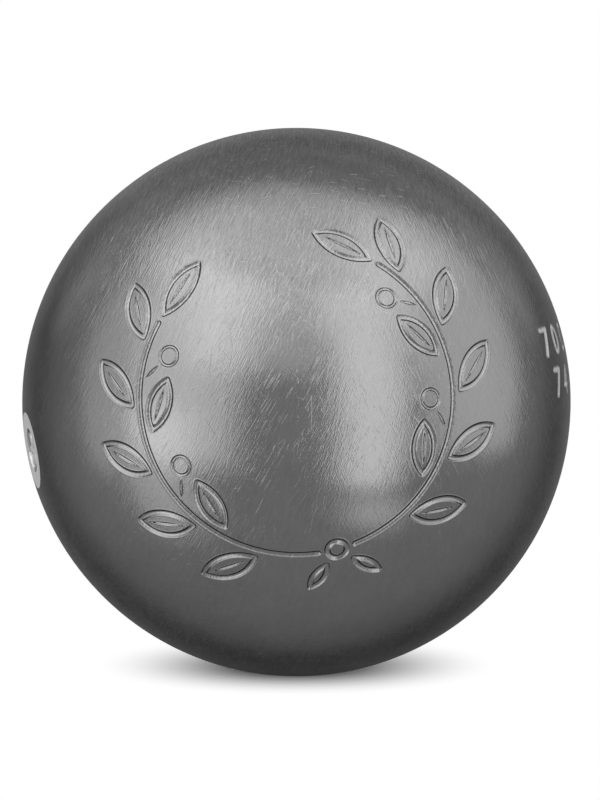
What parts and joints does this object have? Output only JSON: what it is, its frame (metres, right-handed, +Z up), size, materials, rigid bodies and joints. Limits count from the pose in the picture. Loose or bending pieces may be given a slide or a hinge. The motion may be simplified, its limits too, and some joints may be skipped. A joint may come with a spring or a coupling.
{
  "type": "petanque boule",
  "caption": "Hollow welded steel playing ball in dark brushed steel, with an open leaf wreath engraved on its front and a small round recessed mark at its side.",
  "frame": {"origin": "centre of the ball", "axes": "+Z up as the ball stands, -Y towards the engraved front, and Y is the common axis of the two half-shells"},
  "size_m": [0.074, 0.074, 0.074],
  "materials": {
    "shell_steel": "dark satin, brushed and finely scratched",
    "weld_steel": "dark satin, ground flush with the shells"
  },
  "bodies": {
    "root": {"front_shell": "shell_steel", "rear_shell": "shell_steel", "weld_ring": "weld_steel"}
  },
  "joints": []
}
